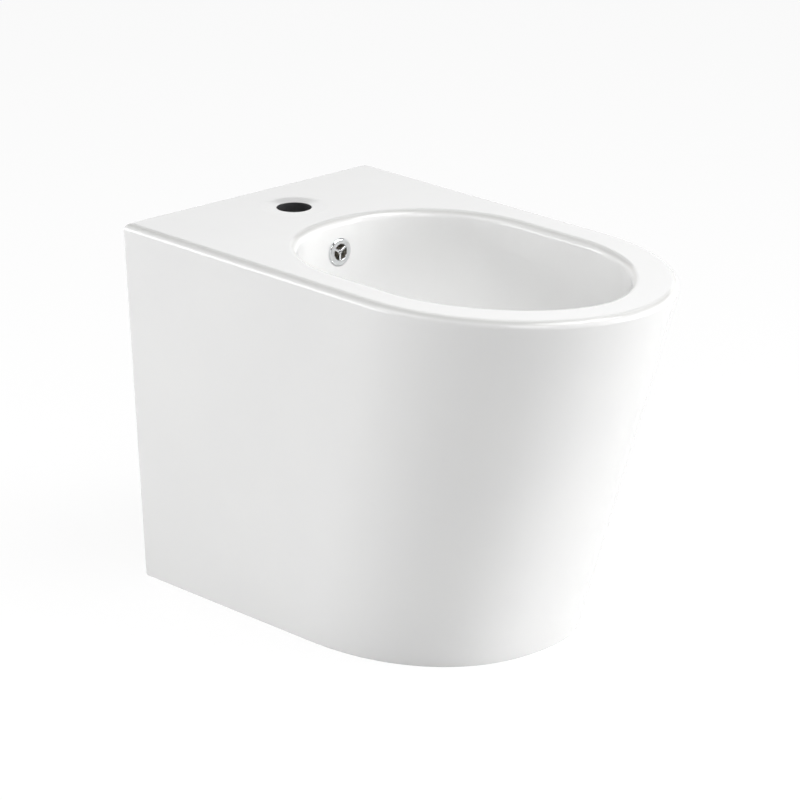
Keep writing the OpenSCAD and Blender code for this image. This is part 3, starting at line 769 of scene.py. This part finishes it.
# Chrome: nickel and chrome plated on polished brass, a mirror with the faintest polishing haze and a ripple
# about 3 mm long
chrome_haze = 6 * mm
chrome_ripple = 3 * mm
chrome_ripple_height = 0.004 * mm
chrome, output = new_material("polished_chrome_plate")
place = add(chrome, "ShaderNodeTexCoord").outputs["Object"]
haze_noise = add(chrome, "ShaderNodeTexNoise", {"Vector": place, "Scale": 1 / chrome_haze, "Detail": 3.0})
haze = add(chrome, "ShaderNodeMapRange", {"Value": haze_noise.outputs["Fac"], "To Min": 0.03, "To Max": 0.09})
ripple = add(chrome, "ShaderNodeTexNoise", {"Vector": place, "Scale": 1 / chrome_ripple, "Detail": 1.0})
ripple_bump = add(chrome, "ShaderNodeBump", {
    "Height": ripple.outputs["Fac"], "Strength": 1.0, "Distance": chrome_ripple_height,
})
chrome_shader = add(chrome, "ShaderNodeBsdfPrincipled", {
    "Base Color": hex_colour("#F1F3F4"), "Metallic": 1.0, "Roughness": haze.outputs[0],
    "Normal": ripple_bump.outputs["Normal"],
})
chrome.node_tree.links.new(chrome_shader.outputs["BSDF"], output.inputs["Surface"])
trim.data.materials.append(chrome)
smooth(trim)
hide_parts("overflow_trim")
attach(trim, "pan")

# Overflow sleeve, waste gasket, waste seal and plug seal: moulded black rubber, matt with a dusty bloom in
# patches. Its pores are 0.5 mm, coarser than the real ones so that they show.
rubber_bloom = 7 * mm
rubber_pore = 0.5 * mm
rubber_pore_depth = 0.02 * mm
rubber, output = new_material("moulded_black_rubber")
place = add(rubber, "ShaderNodeTexCoord").outputs["Object"]
bloom = add(rubber, "ShaderNodeTexNoise", {"Vector": place, "Scale": 1 / rubber_bloom, "Detail": 4.0})
rubber_tint = add(
    rubber, "ShaderNodeMix", {0: bloom.outputs["Fac"], 6: hex_colour("#191919"), 7: hex_colour("#2B2A2A")},
    data_type="RGBA",
)
pores = add(rubber, "ShaderNodeTexNoise", {"Vector": place, "Scale": 1 / rubber_pore, "Detail": 2.0})
pore_bump = add(rubber, "ShaderNodeBump", {
    "Height": pores.outputs["Fac"], "Strength": 0.5, "Distance": rubber_pore_depth,
})
rubber_shader = add(rubber, "ShaderNodeBsdfPrincipled", {
    "Base Color": rubber_tint.outputs[2], "Roughness": 0.62, "IOR": 1.5,
    "Normal": pore_bump.outputs["Normal"],
})
rubber.node_tree.links.new(rubber_shader.outputs["BSDF"], output.inputs["Surface"])


def dress(material, *names):
    """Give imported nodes, whose shapes are right, a real finish."""
    for name in names:
        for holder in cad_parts[name].material_slots:
            holder.material = material


dress(rubber, "overflow_sleeve", "waste_gasket", "waste_seal", "plug_seal")

# Waste: chrome-plated brass flange and tube, turned, then milled with four overflow slots. A cast cross
# carries the cartridge. The tube has the standard G 1 1/4 thread, 11 threads to the inch.
tube_radius = 41.9 / 2 * mm
tube_wall = 2.7 * mm
flange_thick = 3 * mm
gasket_thick = 1.5 * mm
seal_height = 8 * mm
slip_thick = 2 * mm
nut_height = 10 * mm
thread_past_nut = 2 * mm
trap_thread = 30 * mm
thread_pitch = 25.4 / 11 * mm
thread_depth = 0.64 * thread_pitch
thread_sunk = 0.3 * mm
thread_lead_in = 0.4 * mm
thread_steps = 72
relief_depth = 0.5 * mm
slot_margin = 2 * mm
slot_width = 16 * mm
slot_corner = 1 * mm
cross_height = 8 * mm
cross_gap = 1 * mm
web = 3 * mm
web_edge = 0.4 * mm
hub_wall = 2.5 * mm
hub_points = 64
cone_wall = 1 * mm
cartridge_radius = 6 * mm
tube_bore = tube_radius - tube_wall
flange_z = seat_z + gasket_thick
flange_top_z = flange_z + flange_thick
nut_top_z = boss_bottom_z - seal_height - slip_thick
tube_bottom_z = nut_top_z - nut_height - trap_thread
relief_z = nut_top_z - nut_height - thread_past_nut - 4 * relief_depth
slot_top_z = chamber_top_z - slot_margin
slot_height = chamber_height - 2 * slot_margin
cross_z = slot_top_z - slot_height - cross_gap - cross_height
cone_depth = 2 * flange_thick
cone_radius = tube_bore + 2 * (tube_wall - cone_wall)
thread_root = tube_radius - thread_depth
thread_top_z = slot_top_z - slot_height - cross_gap
flange_round = 0.6 * flange_thick
flange_radius = flange_diameter / 2
waste = turned("waste_flange_and_tube", [
    (tube_bore, tube_bottom_z),
    (thread_root - thread_lead_in, tube_bottom_z),
    (thread_root, tube_bottom_z + thread_lead_in),
    (thread_root, relief_z),
    (thread_root, thread_top_z),
    (tube_radius, thread_top_z + thread_depth),
    (tube_radius, flange_z - small_edge),
    *arc(tube_radius + small_edge, flange_z - small_edge, small_edge, 180, 90, 4),
    *arc(flange_radius - small_edge, flange_z + small_edge, small_edge, -90, -20, 4),
    *arc(flange_radius - flange_round, flange_top_z - flange_round, flange_round, 0, 90),
    *arc(cone_radius + small_edge, flange_top_z - small_edge, small_edge, 90, 150, 4),
    (tube_bore, flange_top_z - cone_depth),
], at_waste)


def thread(name, low, high):
    """One ridge of the pipe thread: its section screwed up the tube for as many turns as fit, then closed."""
    turns = int((high - low) / thread_pitch) - 1
    bpy.ops.object.select_all(action="DESELECT")
    bpy.ops.mesh.primitive_circle_add(vertices=4, radius=1)
    piece = start(name)
    # The ridge's foot, crest and other foot, as shares of the pitch
    sunk = thread_root - thread_sunk
    section = [
        (radius, low + share * thread_pitch)
        for radius, share in [(sunk, 0.04), (tube_radius, 0.44), (tube_radius, 0.56), (sunk, 0.96)]
    ]
    for vertex, (radius, height) in zip(piece.data.vertices, section):
        vertex.co = (radius, 0, height)
    finish_with(
        piece, "SCREW", steps=thread_steps, render_steps=thread_steps, iterations=turns,
        screw_offset=thread_pitch, use_merge_vertices=True, merge_threshold=same_place,
    )
    bpy.ops.object.mode_set(mode="EDIT")
    bpy.ops.mesh.select_all(action="SELECT")
    bpy.ops.mesh.fill_holes(sides=0)
    bpy.ops.mesh.normals_make_consistent(inside=False)
    bpy.ops.object.mode_set(mode="OBJECT")
    piece.data.transform(at_waste)
    return piece


combine(waste, thread("trap_thread", tube_bottom_z, relief_z), "UNION")
combine(waste, thread("nut_thread", relief_z + 4 * relief_depth, thread_top_z), "UNION")
reach = tube_bore + tube_wall / 2
for along_x in (True, False):
    half = (reach, web / 2) if along_x else (web / 2, reach)
    bar = block(
        "web", (-half[0], waste_y - half[1], cross_z),
        (half[0], waste_y + half[1], cross_z + cross_height), web_edge,
    )
    combine(waste, bar, "UNION")
hub_radius = cartridge_radius + hub_wall
hub = rod("hub", [
    (hub_radius - small_edge, cross_z), (hub_radius, cross_z + small_edge),
    (hub_radius, cross_z + cross_height - small_edge), (hub_radius - small_edge, cross_z + cross_height),
], at_waste, hub_points)
combine(waste, hub, "UNION")
bore_radius = cartridge_radius + fit_gap
bore = rod("bore", [
    (bore_radius, cross_z - overshoot), (bore_radius, cross_z + cross_height + overshoot),
], at_waste, hub_points)
combine(waste, bore, "DIFFERENCE")
for turn in (45, 135, 225, 315):
    slot = block(
        "slot", (tube_bore / 2, -slot_width / 2, slot_top_z - slot_height),
        (tube_bore / 2 + tube_radius, slot_width / 2, slot_top_z), slot_corner,
    )
    slot.data.transform(at_waste @ Matrix.Rotation(math.radians(turn), 4, "Z"))
    combine(waste, slot, "DIFFERENCE")
waste.data.materials.append(chrome)
smooth(waste)
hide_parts("waste_body")
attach(waste, "pan")

# Slip washer, cartridge housing and lug plugs: moulded natural nylon, milky, with faint flow marks and a
# satin finish from a spark-eroded mould. Its texture is 0.4 mm, coarser than real so that it shows.
nylon_flow = 12 * mm
nylon_texture = 0.4 * mm
nylon_texture_height = 0.02 * mm
nylon_glow = (2 * mm, 1.6 * mm, 1.2 * mm)
nylon, output = new_material("moulded_natural_nylon")
place = add(nylon, "ShaderNodeTexCoord").outputs["Object"]
flow = add(nylon, "ShaderNodeTexNoise", {"Vector": place, "Scale": 1 / nylon_flow, "Detail": 3.0})
nylon_tint = add(
    nylon, "ShaderNodeMix", {0: flow.outputs["Fac"], 6: hex_colour("#DEDBD0"), 7: hex_colour("#ECEAE3")},
    data_type="RGBA",
)
spark = add(nylon, "ShaderNodeTexNoise", {"Vector": place, "Scale": 1 / nylon_texture, "Detail": 2.0})
spark_bump = add(nylon, "ShaderNodeBump", {
    "Height": spark.outputs["Fac"], "Strength": 0.4, "Distance": nylon_texture_height,
})
nylon_shader = add(nylon, "ShaderNodeBsdfPrincipled", {
    "Base Color": nylon_tint.outputs[2], "Roughness": 0.42, "IOR": 1.53, "Subsurface Weight": 0.15,
    "Subsurface Radius": nylon_glow, "Normal": spark_bump.outputs["Normal"],
})
nylon.node_tree.links.new(nylon_shader.outputs["BSDF"], output.inputs["Surface"])
dress(nylon, "slip_washer", "cartridge_housing", "lug_plugs")

# Back nut, plunger and cartridge cap: machined brass, with a light tarnish in patches. The turning marks up
# the waste's axis are 0.5 mm apart, coarser than the real ones so that they show.
brass_tarnish = 15 * mm
turning_mark = 0.5 * mm
turning_mark_depth = 0.01 * mm
brass, output = new_material("machined_brass")
place = add(brass, "ShaderNodeTexCoord").outputs["Object"]
tarnish = add(brass, "ShaderNodeTexNoise", {"Vector": place, "Scale": 1 / brass_tarnish, "Detail": 5.0})
tarnish_share = add(brass, "ShaderNodeMapRange", {
    "Value": tarnish.outputs["Fac"], "From Min": 0.4, "From Max": 0.7,
})
brass_tint = add(
    brass, "ShaderNodeMix", {0: tarnish_share.outputs[0], 6: hex_colour("#D9BC72"), 7: hex_colour("#B9964F")},
    data_type="RGBA",
)
# A wave texture's bands turn through 20 radians in each unit of its scale
band_radians = 20
lathe = add(brass, "ShaderNodeTexWave", {
    "Vector": place, "Scale": 2 * math.pi / turning_mark / band_radians, "Distortion": 0.4,
}, wave_type="BANDS", bands_direction="Z")
lathe_bump = add(brass, "ShaderNodeBump", {
    "Height": lathe.outputs["Fac"], "Strength": 0.3, "Distance": turning_mark_depth,
})
brass_shader = add(brass, "ShaderNodeBsdfPrincipled", {
    "Base Color": brass_tint.outputs[2], "Metallic": 1.0, "Roughness": 0.28,
    "Normal": lathe_bump.outputs["Normal"],
})
brass.node_tree.links.new(brass_shader.outputs["BSDF"], output.inputs["Surface"])
dress(brass, "back_nut", "plunger", "cartridge_cap")

# Plug cap: chrome-plated brass, turned as a shallow dome over a grooved step that holds the seal. A hub
# under it is screwed on the plunger's rod.
cap_radius = 31 * mm
cap_thick = 2.5 * mm
cap_crown = 2 * mm
cap_step = 5 * mm
cap_step_radius = cap_radius / 2
moving_gap = 0.4 * mm
plug_travel = 8 * mm
rod_radius = 3 * mm
rod_thread = 6 * mm
cap_hub_wall = 3 * mm
cap_hub_radius = rod_radius + cap_hub_wall
groove_lip = 1.2 * mm
groove_rim = 2 * mm
hub_drop = 2 * mm
hub_edge = 0.3 * mm
cap_z = flange_top_z + moving_gap + plug_travel
hub_bottom = -cap_step - hub_drop
dome_radius = (cap_radius ** 2 + cap_crown ** 2) / (2 * cap_crown)
dome_angle = math.degrees(math.asin((cap_radius - small_edge) / dome_radius))
rod_bore = rod_radius + fit_gap / 2
cap = rod("plug_cap_dome", [
    (rod_bore, hub_bottom + rod_thread + fit_gap),
    (rod_bore, hub_bottom),
    (cap_hub_radius - hub_edge, hub_bottom),
    (cap_hub_radius, hub_bottom + hub_edge),
    (cap_hub_radius, -cap_step),
    (cap_step_radius + groove_rim, -cap_step),
    (cap_step_radius + groove_rim, -cap_step + groove_lip),
    (cap_step_radius, -cap_step + groove_lip),
    (cap_step_radius, 0),
    *arc(cap_radius - small_edge, small_edge, small_edge, -90, 0, 5),
    *arc(cap_radius - small_edge, cap_thick - small_edge, small_edge, 0, 80, 5),
    *arc(0, cap_thick + cap_crown - dome_radius, dome_radius, 90 - dome_angle, 89.8, 24),
], at_waste @ Matrix.Translation((0, 0, cap_z)))
cap.data.materials.append(chrome)
smooth(cap)
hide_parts("plug_cap")
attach(cap, "plug")

# Brackets, washers, bolts, latch pin and cartridge spring: steel with bright zinc, spangled in grains about
# 5 mm across. Its pits are 1 mm apart, coarser than the real ones so that they show.
zinc_spangle = 5 * mm
zinc_pit = 1 * mm
zinc_pit_depth = 0.03 * mm
zinc, output = new_material("galvanised_steel")
place = add(zinc, "ShaderNodeTexCoord").outputs["Object"]
spangle = add(zinc, "ShaderNodeTexVoronoi", {"Vector": place, "Scale": 1 / zinc_spangle}, feature="F1")
spangle_share = add(zinc, "ShaderNodeSeparateColor", {"Color": spangle.outputs["Color"]})
zinc_tint = add(
    zinc, "ShaderNodeMix", {0: spangle_share.outputs[0], 6: hex_colour("#A4A8AC"), 7: hex_colour("#C4C7CA")},
    data_type="RGBA",
)
zinc_rough = add(zinc, "ShaderNodeMapRange", {
    "Value": spangle_share.outputs[1], "To Min": 0.32, "To Max": 0.5,
})
pits = add(zinc, "ShaderNodeTexNoise", {"Vector": place, "Scale": 1 / zinc_pit, "Detail": 3.0})
pit_bump = add(zinc, "ShaderNodeBump", {
    "Height": pits.outputs["Fac"], "Strength": 0.4, "Distance": zinc_pit_depth,
})
zinc_shader = add(zinc, "ShaderNodeBsdfPrincipled", {
    "Base Color": zinc_tint.outputs[2], "Metallic": 1.0, "Roughness": zinc_rough.outputs[0],
    "Normal": pit_bump.outputs["Normal"],
})
zinc.node_tree.links.new(zinc_shader.outputs["BSDF"], output.inputs["Surface"])
dress(zinc, "bracket_left", "bracket_right", "lug_washers", "latch_pin")

# Cartridge spring: one steel wire wound six times round, which stands in the cartridge and pushes the plunger
# up. The real one shortens as the plug goes down; this one is wound at a single length.
spring_wire = 0.9 * mm
spring_turns = 6
wire_points = 16
turn_points = 48
spring_low, spring_high = [Vector(corner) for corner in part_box("cartridge_spring")]
coil_radius = (spring_high.x - spring_low.x - spring_wire) / 2
coil_rise = spring_high.z - spring_low.z - spring_wire
bpy.ops.object.select_all(action="DESELECT")
bpy.ops.mesh.primitive_circle_add(
    vertices=wire_points, radius=spring_wire / 2, location=(coil_radius, 0, 0), rotation=(math.pi / 2, 0, 0)
)
spring = start("cartridge_spring_coil")
bpy.ops.object.transform_apply(location=True, rotation=True, scale=True)
finish_with(
    spring, "SCREW", steps=turn_points, render_steps=turn_points, iterations=spring_turns,
    screw_offset=coil_rise / spring_turns,
)
bpy.ops.object.mode_set(mode="EDIT")
bpy.ops.mesh.select_all(action="SELECT")
bpy.ops.mesh.fill_holes(sides=0)
bpy.ops.mesh.normals_make_consistent(inside=False)
bpy.ops.object.mode_set(mode="OBJECT")
spring.data.transform(Matrix.Translation((0, waste_y, spring_low.z + spring_wire / 2)))
spring.data.materials.append(zinc)
smooth(spring, 60)
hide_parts("cartridge_spring")
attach(spring, "pan")
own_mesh(spring)

# Lug bolts: steel, with hexagon heads whose corners are turned off, on a shank that cuts its thread in the
# nylon plug. They hold the brackets to the lugs.
bracket_steel = 3 * mm
washer_thick = 1.6 * mm
head_height = 5.3 * mm
head_flats = 1.6 * bolt_diameter
head_cone_margin = 0.2 * mm
head_cone_height = 0.9 * mm
head_points = 64
shank_points = 48
shank_clearance = 2 * mm
shank_tip = 1 * mm
shank_tip_radius = 2.6 * mm
shank_end = lug_face_x + plug_depth - shank_clearance
washer_x = lug_face_x - bracket_steel - washer_thick
head_x = washer_x - head_height
corners = head_flats / math.sqrt(3)
bolts = []
for side in (-1, 1):
    bolt = rod("lug_bolt", [(corners, head_x), (corners, washer_x)], at_lug[side], points=6)
    turned_off = rod("turned_off", [
        (head_flats / 2 - head_cone_margin, head_x - 0.05 * overshoot),
        (corners + head_cone_margin, head_x + head_cone_height),
        (corners + head_cone_margin, washer_x + overshoot),
    ], at_lug[side], head_points)
    combine(bolt, turned_off, "INTERSECT")
    shank = rod("shank", [
        (bolt_diameter / 2, washer_x - overshoot), (bolt_diameter / 2, shank_end - shank_tip),
        (shank_tip_radius, shank_end),
    ], at_lug[side], shank_points)
    combine(bolt, shank, "UNION")
    bolts.append(bolt)
bpy.ops.object.select_all(action="DESELECT")
for bolt in bolts:
    bolt.select_set(True)
bpy.context.view_layer.objects.active = bolts[0]
bpy.ops.object.join()
bolt_pair = start("lug_bolt_pair")
bolt_pair.data.materials.append(zinc)
smooth(bolt_pair)
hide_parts("lug_bolts")
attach(bolt_pair, "pan")

# Floor: a pale paper sweep, wide enough to fill the picture. The camera and the glaze see it as nearly
# white, and the object's soft shadow stays on it.
floor_size = 24
paper_white = 1.08
paper_share = 0.84
bpy.ops.object.select_all(action="DESELECT")
bpy.ops.mesh.primitive_plane_add(size=floor_size, location=(0, 0, 0))
floor = start("studio_floor")
paper, output = new_material("white_paper_sweep")
rays = add(paper, "ShaderNodeLightPath").outputs
mirrored = add(paper, "ShaderNodeMath", {
    0: rays["Is Glossy Ray"], 1: rays["Is Transmission Ray"],
}, operation="MAXIMUM")
seen = add(paper, "ShaderNodeMath", {0: rays["Is Camera Ray"], 1: mirrored.outputs[0]}, operation="MAXIMUM")
white_share = add(paper, "ShaderNodeMath", {0: seen.outputs[0], 1: paper_share}, operation="MULTIPLY")
lit = add(paper, "ShaderNodeBsdfDiffuse", {"Color": hex_colour("#E8E8E8")})
white = add(paper, "ShaderNodeEmission", {"Strength": paper_white})
paper_shader = add(paper, "ShaderNodeMixShader", {
    0: white_share.outputs[0], 1: lit.outputs[0], 2: white.outputs[0],
})
paper.node_tree.links.new(paper_shader.outputs[0], output.inputs["Surface"])
floor.data.materials.append(paper)


def softbox(name, place, width, height, brightness):
    """A rectangular studio light, turned to the object; a brightness of 1 is that of lit white paper."""
    bpy.ops.object.light_add(type="AREA", location=place)
    light = bpy.context.object
    light.name = name
    light.rotation_euler = (light_aim - Vector(place)).to_track_quat("-Z", "Y").to_euler()
    light.data.shape = "RECTANGLE"
    light.data.size = width
    light.data.size_y = height
    light.data.energy = math.pi * brightness * width * height


# Light: softboxes above the front, low behind on the left, higher at the left, far off at the right of the
# front, and high up beside the camera. Places and sizes are in metres.
light_aim = Vector((0, 0, 0.3))
softbox("top_softbox", (0.3, -1.0, 2.4), 1.6, 1.2, 5.7)
softbox("low_left_softbox", (-2.4, 2.6, 0.66), 2.8, 1.3, 4.6)
softbox("high_left_softbox", (-2.6, 1.2, 2.0), 1.8, 1.4, 1.9)
softbox("right_softbox", (2.6, -3.6, 1.0), 2.2, 1.8, 8.1)
softbox("fill_softbox", (-3.0, -3.4, 3.2), 2.0, 2.0, 3.5)

# World: a dark studio with a white screen round the back, up to about 20 degrees above the horizon. The deck
# reflects the screen, and the rounded rim reflects the dark above it. The camera's own rays see plain white.
screen_top = math.sin(math.radians(19.5))
screen_fade = math.sin(math.radians(21.5))
screen_facing = (0.682, 0.731, 0)
screen_side_start = -0.05
screen_side_end = 0.25
screen_brightness = 1.4
dark_studio = 0.08
world = bpy.data.worlds.new("studio_air")
bpy.context.scene.world = world
world.use_nodes = True
world.node_tree.nodes.clear()
direction = add(world, "ShaderNodeTexCoord").outputs["Generated"]
height = add(world, "ShaderNodeSeparateXYZ", {"Vector": direction}).outputs["Z"]
low_part = add(world, "ShaderNodeMapRange", {
    "Value": height, "From Min": screen_top, "From Max": screen_fade, "To Min": 1.0, "To Max": 0.0,
})
facing = add(world, "ShaderNodeVectorMath", {0: direction, 1: screen_facing}, operation="DOT_PRODUCT")
back_part = add(world, "ShaderNodeMapRange", {
    "Value": facing.outputs["Value"], "From Min": screen_side_start, "From Max": screen_side_end,
})
screen = add(world, "ShaderNodeMath", {0: low_part.outputs[0], 1: back_part.outputs[0]}, operation="MULTIPLY")
studio = add(world, "ShaderNodeMapRange", {
    "Value": screen.outputs[0], "To Min": dark_studio, "To Max": screen_brightness,
})
camera_rays = add(world, "ShaderNodeLightPath").outputs["Is Camera Ray"]
strength = add(world, "ShaderNodeMix", {0: camera_rays, 2: studio.outputs[0], 3: 1.0}, data_type="FLOAT")
air = add(world, "ShaderNodeBackground", {"Strength": strength.outputs[0]})
add(world, "ShaderNodeOutputWorld", {"Surface": air.outputs[0]})
bpy.context.scene.view_settings.view_transform = "Standard"
